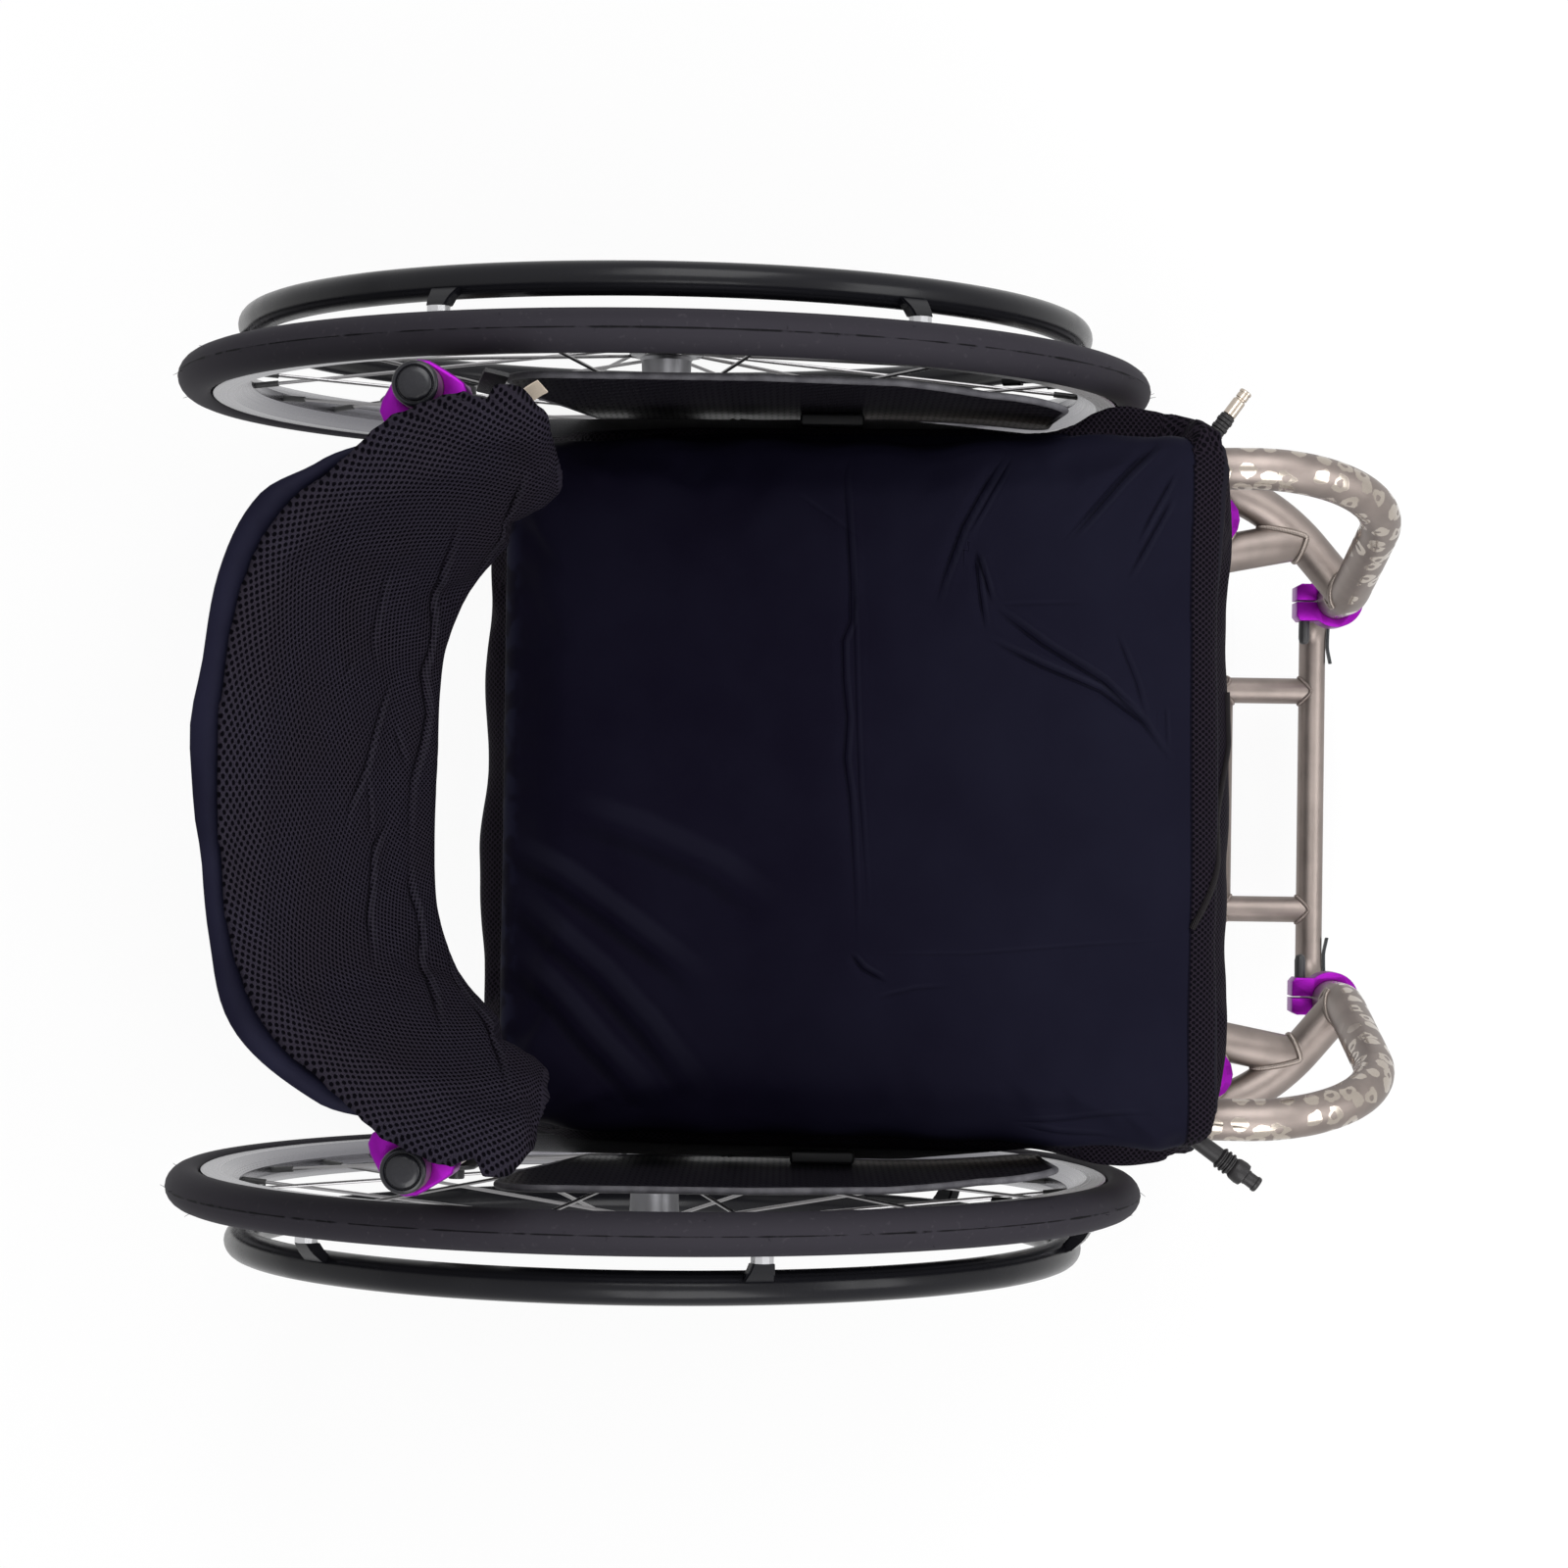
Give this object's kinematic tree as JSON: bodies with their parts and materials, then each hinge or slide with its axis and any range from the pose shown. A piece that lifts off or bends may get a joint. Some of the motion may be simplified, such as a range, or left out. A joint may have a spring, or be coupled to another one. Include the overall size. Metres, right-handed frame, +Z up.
{
  "type": "rigid wheelchair",
  "caption": "Rigid tube-frame wheelchair with spoked push wheels, front casters, wrap-around shell back, air cushion, side guards and a tubular footrest.",
  "frame": {"origin": "on the floor, under the middle of the bounding box", "axes": "+Z up, the sitter faces -Y, the sitter's left is +X"},
  "size_m": [0.5874, 0.7664, 0.7],
  "materials": {
    "titanium": "bead-blasted titanium with polished patches",
    "receiver_metal": "plain turned",
    "purple_anodised": "purple anodised",
    "black_alloy": "black anodised",
    "carbon": "satin woven composite",
    "sling_fabric": "woven webbing cloth",
    "cushion_cover": "smooth stretch cover",
    "black_plastic": "moulded",
    "nickel": "nickel plated",
    "back_cover": "smooth knit cover",
    "spacer_mesh": "open spacer mesh",
    "tyre": "smooth rubber",
    "rim_alloy": "silver anodised",
    "spoke_metal": "drawn steel and grey hub shell",
    "handrim_coat": "satin black",
    "axle_steel": "turned stainless",
    "caster_rubber": "smooth",
    "caster_alloy": "turned"
  },
  "bodies": {
    "frame": {"camber_tube": "titanium", "left_seat_tube": "titanium", "left_lower_rail": "titanium", "left_inner_strut": "titanium", "left_caster_housing": "titanium", "left_caster_cap": "purple_anodised", "left_axle_receiver": "receiver_metal", "left_camber_clamp": "black_alloy", "left_side_guard": "carbon", "left_guard_clamp": "black_alloy", "left_footrest_clamp": "purple_anodised", "left_back_bracket": "black_alloy", "right_seat_tube": "titanium", "right_lower_rail": "titanium", "right_inner_strut": "titanium", "right_caster_housing": "titanium", "right_caster_cap": "purple_anodised", "right_axle_receiver": "receiver_metal", "right_camber_clamp": "black_alloy", "right_side_guard": "carbon", "right_guard_clamp": "black_alloy", "right_footrest_clamp": "purple_anodised", "right_back_bracket": "black_alloy", "seat_sling": "sling_fabric", "seat_cushion": "cushion_cover", "valve_neck": "black_plastic", "quick_disconnect": "black_plastic"},
    "cushion_valve": {"cushion_valve": "nickel"},
    "backrest": {"left_back_cane": "titanium", "left_cane_plug": "black_plastic", "left_back_clamp": "purple_anodised", "right_back_cane": "titanium", "right_cane_plug": "black_plastic", "right_back_clamp": "purple_anodised", "back_shell": "back_cover", "back_pad": "spacer_mesh"},
    "footrest": {"footrest": "titanium"},
    "left_axle": {"left_axle_pin": "axle_steel"},
    "left_axle_button": {"left_axle_button": "black_plastic"},
    "left_wheel": {"left_tyre": "tyre", "left_rim": "rim_alloy", "left_hub_and_spokes": "spoke_metal", "left_handrim": "handrim_coat"},
    "left_caster_fork": {"left_caster_fork": "purple_anodised"},
    "left_caster_wheel": {"left_caster_tyre": "caster_rubber", "left_caster_hub": "caster_alloy"},
    "right_axle": {"right_axle_pin": "axle_steel"},
    "right_axle_button": {"right_axle_button": "black_plastic"},
    "right_wheel": {"right_tyre": "tyre", "right_rim": "rim_alloy", "right_hub_and_spokes": "spoke_metal", "right_handrim": "handrim_coat"},
    "right_caster_fork": {"right_caster_fork": "purple_anodised"},
    "right_caster_wheel": {"right_caster_tyre": "caster_rubber", "right_caster_hub": "caster_alloy"}
  },
  "joints": [
    {"name": "left_axle_release", "type": "slide", "parent": "frame", "child": "left_axle", "axis": [1, 0, 0], "range_m": [0, 0.06]},
    {"name": "left_axle_button_press", "type": "slide", "parent": "left_axle", "child": "left_axle_button", "axis": [-1, 0, 0], "range_m": [0, 0.003], "stiffness_N_per_m": 1500, "springref_m": -0.002},
    {"name": "left_wheel_spin", "type": "hinge", "parent": "left_axle", "child": "left_wheel", "pos_m": [0.25, 0.07875, 0.3045], "axis": [1, 0, 0], "continuous": true},
    {"name": "left_caster_swivel", "type": "hinge", "parent": "frame", "child": "left_caster_fork", "pos_m": [0.1785, -0.27325, 0.19], "axis": [0, 0, 1], "continuous": true},
    {"name": "left_caster_spin", "type": "hinge", "parent": "left_caster_fork", "child": "left_caster_wheel", "pos_m": [0.1785, -0.24125, 0.05], "axis": [1, 0, 0], "continuous": true},
    {"name": "right_axle_release", "type": "slide", "parent": "frame", "child": "right_axle", "axis": [-1, 0, 0], "range_m": [0, 0.06]},
    {"name": "right_axle_button_press", "type": "slide", "parent": "right_axle", "child": "right_axle_button", "axis": [1, 0, 0], "range_m": [0, 0.003], "stiffness_N_per_m": 1500, "springref_m": -0.002},
    {"name": "right_wheel_spin", "type": "hinge", "parent": "right_axle", "child": "right_wheel", "pos_m": [-0.25, 0.07875, 0.3045], "axis": [1, 0, 0], "continuous": true},
    {"name": "right_caster_swivel", "type": "hinge", "parent": "frame", "child": "right_caster_fork", "pos_m": [-0.1785, -0.27325, 0.19], "axis": [0, 0, 1], "continuous": true},
    {"name": "right_caster_spin", "type": "hinge", "parent": "right_caster_fork", "child": "right_caster_wheel", "pos_m": [-0.1785, -0.24125, 0.05], "axis": [1, 0, 0], "continuous": true},
    {"name": "back_fold", "type": "hinge", "parent": "frame", "child": "backrest", "pos_m": [0, 0.19075, 0.455], "axis": [1, 0, 0], "range_deg": [0, 45]},
    {"name": "footrest_height", "type": "slide", "parent": "frame", "child": "footrest", "axis": [0, 0, 1], "range_m": [-0.01, 0.03]},
    {"name": "cushion_valve_turn", "type": "hinge", "parent": "frame", "child": "cushion_valve", "pos_m": [0.206, -0.24675, 0.45], "axis": [0.8102, -0.5862, 0], "range_deg": [0, 180]}
  ]
}
